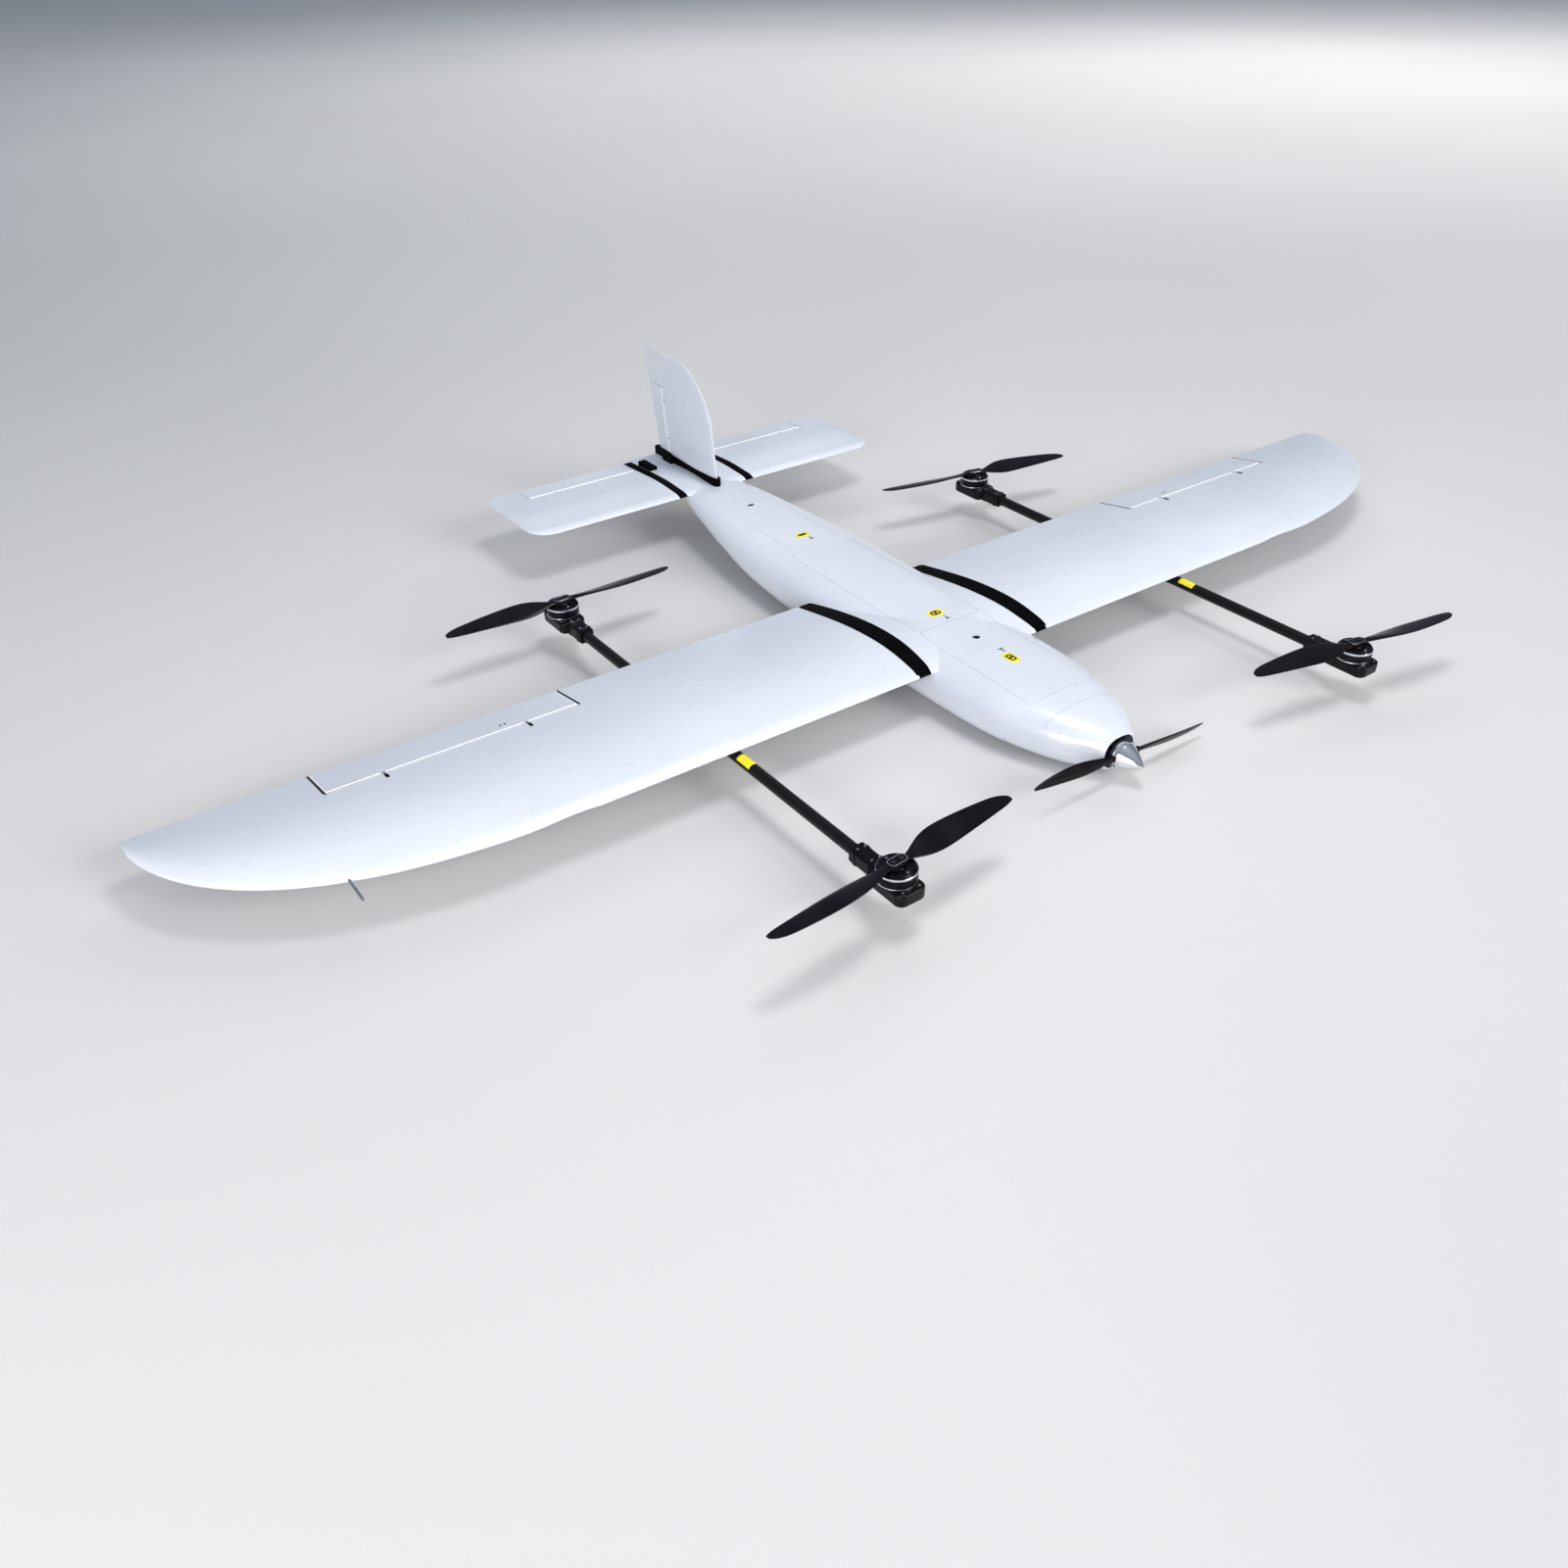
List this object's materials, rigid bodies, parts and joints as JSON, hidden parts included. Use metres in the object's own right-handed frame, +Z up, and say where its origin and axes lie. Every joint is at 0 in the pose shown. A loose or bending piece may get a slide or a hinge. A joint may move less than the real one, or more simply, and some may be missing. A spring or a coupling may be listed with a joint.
{
  "type": "fixed wing drone",
  "caption": "White fixed wing drone with lift rotors on two booms under a long wing, a folding nose propeller, hinged control surfaces and lift-off hatches.",
  "frame": {"origin": "middle of the bounding box at the level of the flat belly", "axes": "+X towards the aircraft's left wing tip, the nose points along -Y and the tail along +Y, +Z up"},
  "size_m": [2.214, 1.2618, 0.277],
  "materials": {
    "white_shell": "gloss white painted composite",
    "black_fitting": "satin black moulding",
    "carbon_tube": "satin carbon tube",
    "steel": "drawn wire and tube",
    "battery_wrap": "heat-shrink sleeve",
    "electronics": "moulded case",
    "motor_black": "black anodised with bright turned rings",
    "chrome_part": "polished",
    "prop_black": "gloss black carbon-filled moulding",
    "nacelle_black": "gloss black moulding"
  },
  "bodies": {
    "airframe": {"fuselage_shell": "white_shell", "wing_left": "white_shell", "wing_right": "white_shell", "stabiliser_left": "white_shell", "stabiliser_right": "white_shell", "fin": "white_shell", "root_rib_left": "black_fitting", "root_rib_right": "black_fitting", "stabiliser_ribs": "black_fitting", "fin_base": "black_fitting", "elevator_linkage_cover": "black_fitting", "boom_saddles": "black_fitting", "aileron_servos": "black_fitting", "hinge_lugs": "black_fitting", "equipment_tray": "black_fitting", "boom_left": "carbon_tube", "boom_right": "carbon_tube", "main_spar_tube": "carbon_tube", "rear_spar_tube": "carbon_tube", "hinge_pins": "steel", "pitot_tube": "steel", "battery_pack": "battery_wrap", "flight_controller": "electronics", "gps_receiver": "electronics", "nose_motor_base": "motor_black", "lift_motor_stators": "motor_black", "nose_motor_mount": "motor_black", "nacelle_front_left": "nacelle_black", "nacelle_front_right": "nacelle_black", "nacelle_rear_left": "nacelle_black", "nacelle_rear_right": "nacelle_black"},
    "front_hatch": {"front_hatch": "white_shell"},
    "mid_hatch": {"mid_hatch": "white_shell"},
    "rear_hatch": {"rear_hatch": "white_shell"},
    "aileron_left": {"aileron_left": "white_shell", "control_horn_left": "black_fitting"},
    "servo_arm_left": {"servo_arm_left": "black_fitting"},
    "pushrod_left": {"pushrod_left": "steel"},
    "aileron_right": {"aileron_right": "white_shell", "control_horn_right": "black_fitting"},
    "servo_arm_right": {"servo_arm_right": "black_fitting"},
    "pushrod_right": {"pushrod_right": "steel"},
    "elevators": {"elevator_left": "white_shell", "elevator_right": "white_shell", "elevator_torque_tube": "steel"},
    "rudder": {"rudder": "white_shell"},
    "lift_rotor_front_left": {"motor_bell_front_left": "motor_black", "lift_prop_front_left": "prop_black"},
    "lift_rotor_front_right": {"motor_bell_front_right": "motor_black", "lift_prop_front_right": "prop_black"},
    "lift_rotor_rear_left": {"motor_bell_rear_left": "motor_black", "lift_prop_rear_left": "prop_black"},
    "lift_rotor_rear_right": {"motor_bell_rear_right": "motor_black", "lift_prop_rear_right": "prop_black"},
    "nose_rotor": {"nose_motor_bell": "motor_black", "spinner": "chrome_part", "prop_yoke": "chrome_part", "blade_pins": "steel"},
    "nose_blade_left": {"nose_blade_left": "prop_black"},
    "nose_blade_right": {"nose_blade_right": "prop_black"}
  },
  "joints": [
    {"name": "front_hatch_lift", "type": "slide", "parent": "airframe", "child": "front_hatch", "axis": [0, 0, 1], "range_m": [0, 0.06]},
    {"name": "mid_hatch_lift", "type": "slide", "parent": "airframe", "child": "mid_hatch", "axis": [0, 0, 1], "range_m": [0, 0.06]},
    {"name": "rear_hatch_lift", "type": "slide", "parent": "airframe", "child": "rear_hatch", "axis": [0, 0, 1], "range_m": [0, 0.06]},
    {"name": "aileron_left_hinge", "type": "hinge", "parent": "airframe", "child": "aileron_left", "pos_m": [0.709, -0.076, 0.0616], "axis": [1, 0, 0], "range_deg": [-22, 22]},
    {"name": "servo_arm_left_shaft", "type": "hinge", "parent": "airframe", "child": "servo_arm_left", "pos_m": [0.64, -0.15, 0.0616], "axis": [1, 0, 0], "range_deg": [-22, 22]},
    {"name": "pushrod_left_pivot", "type": "hinge", "parent": "servo_arm_left", "child": "pushrod_left", "pos_m": [0.64, -0.15, 0.0396], "axis": [1, 0, 0], "range_deg": [-22, 22]},
    {"name": "aileron_right_hinge", "type": "hinge", "parent": "airframe", "child": "aileron_right", "pos_m": [-0.709, -0.076, 0.0616], "axis": [1, 0, 0], "range_deg": [-22, 22]},
    {"name": "servo_arm_right_shaft", "type": "hinge", "parent": "airframe", "child": "servo_arm_right", "pos_m": [-0.64, -0.15, 0.0616], "axis": [1, 0, 0], "range_deg": [-22, 22]},
    {"name": "pushrod_right_pivot", "type": "hinge", "parent": "servo_arm_right", "child": "pushrod_right", "pos_m": [-0.64, -0.15, 0.0396], "axis": [1, 0, 0], "range_deg": [-22, 22]},
    {"name": "elevator_hinge", "type": "hinge", "parent": "airframe", "child": "elevators", "pos_m": [0, 0.551, 0.082], "axis": [1, 0, 0], "range_deg": [-25, 25]},
    {"name": "rudder_hinge", "type": "hinge", "parent": "airframe", "child": "rudder", "pos_m": [0, 0.552, 0.1055], "axis": [0, 0.1497, 0.9887], "range_deg": [-28, 28]},
    {"name": "lift_rotor_front_left_spin", "type": "hinge", "parent": "airframe", "child": "lift_rotor_front_left", "pos_m": [0.418, -0.596, 0.06], "axis": [0, 0, 1], "continuous": true},
    {"name": "lift_rotor_front_right_spin", "type": "hinge", "parent": "airframe", "child": "lift_rotor_front_right", "pos_m": [-0.418, -0.596, 0.06], "axis": [0, 0, 1], "continuous": true},
    {"name": "lift_rotor_rear_left_spin", "type": "hinge", "parent": "airframe", "child": "lift_rotor_rear_left", "pos_m": [0.418, 0.194, 0.06], "axis": [0, 0, 1], "continuous": true},
    {"name": "lift_rotor_rear_right_spin", "type": "hinge", "parent": "airframe", "child": "lift_rotor_rear_right", "pos_m": [-0.418, 0.194, 0.06], "axis": [0, 0, 1], "continuous": true},
    {"name": "nose_rotor_spin", "type": "hinge", "parent": "airframe", "child": "nose_rotor", "pos_m": [0, -0.545, 0.03], "axis": [0, 1, 0], "continuous": true},
    {"name": "nose_blade_left_fold", "type": "hinge", "parent": "nose_rotor", "child": "nose_blade_left", "pos_m": [0.01495, -0.552, 0.02874], "axis": [0.0837, 0, 0.9965], "range_deg": [0, 12]},
    {"name": "nose_blade_right_fold", "type": "hinge", "parent": "nose_rotor", "child": "nose_blade_right", "pos_m": [-0.01495, -0.552, 0.03125], "axis": [-0.0837, 0, -0.9965], "range_deg": [0, 12]}
  ],
  "couplings": [
    {"joint": "servo_arm_left_shaft", "follows": "aileron_left_hinge", "ratio": 1},
    {"joint": "pushrod_left_pivot", "follows": "aileron_left_hinge", "ratio": -1},
    {"joint": "servo_arm_right_shaft", "follows": "aileron_right_hinge", "ratio": 1},
    {"joint": "pushrod_right_pivot", "follows": "aileron_right_hinge", "ratio": -1}
  ]
}
